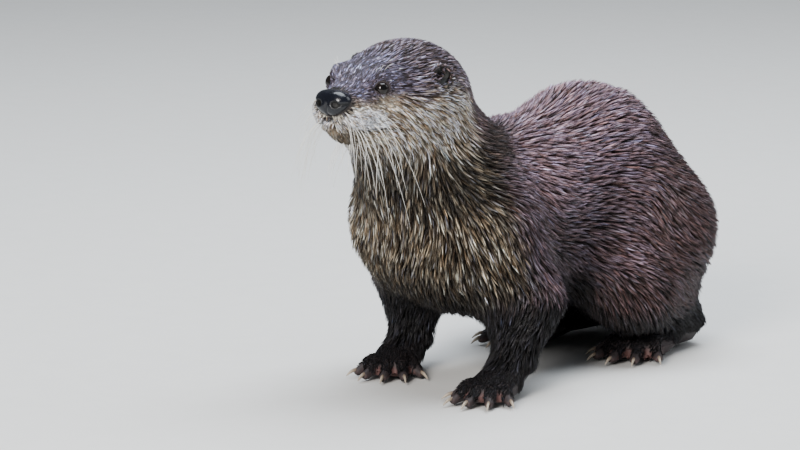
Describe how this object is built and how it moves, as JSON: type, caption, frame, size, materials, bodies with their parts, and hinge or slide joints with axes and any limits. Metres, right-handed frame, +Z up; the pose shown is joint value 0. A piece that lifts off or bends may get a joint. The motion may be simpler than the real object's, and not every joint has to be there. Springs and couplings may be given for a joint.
{
  "type": "river otter",
  "caption": "Life-size river otter standing on its forefeet with the hindquarters gathered under an arched back, the head raised and the tail laid round behind.",
  "frame": {"origin": "middle of the base of the box round the whole animal, at floor level", "axes": "+Z up, -Y the way that the chest faces, +X the animal's own left"},
  "size_m": [0.4001, 0.5631, 0.2736],
  "materials": {
    "fur": "wet fur, in pointed clumps",
    "foot_skin": "damp bare skin",
    "nose_pad": "wet and glossy",
    "eye": "wet and glossy",
    "claw": "horn, satin",
    "whisker": "pale horn, satin"
  },
  "bodies": {
    "root": {"claw_fore_left_1": "claw", "claw_fore_left_2": "claw", "claw_fore_left_3": "claw", "claw_fore_left_4": "claw", "claw_fore_left_5": "claw", "claw_fore_right_1": "claw", "claw_fore_right_2": "claw", "claw_fore_right_3": "claw", "claw_fore_right_4": "claw", "claw_fore_right_5": "claw", "claw_hind_left_1": "claw", "claw_hind_left_2": "claw", "claw_hind_left_3": "claw", "claw_hind_left_4": "claw", "claw_hind_left_5": "claw", "claw_hind_right_1": "claw", "claw_hind_right_2": "claw", "claw_hind_right_3": "claw", "claw_hind_right_4": "claw", "claw_hind_right_5": "claw", "ear_left": "fur", "ear_right": "fur", "eye_left": "eye", "eye_right": "eye", "forearm_left": "fur", "forearm_right": "fur", "forefoot_left": "foot_skin", "forefoot_right": "foot_skin", "head": "fur", "hindfoot_left": "foot_skin", "hindfoot_right": "foot_skin", "neck": "fur", "nose": "nose_pad", "shank_left": "fur", "shank_right": "fur", "tail_middle": "fur", "tail_root": "fur", "tail_tip": "fur", "thigh_left": "fur", "thigh_right": "fur", "trunk": "fur", "upper_arm_left": "fur", "upper_arm_right": "fur"}
  },
  "joints": []
}
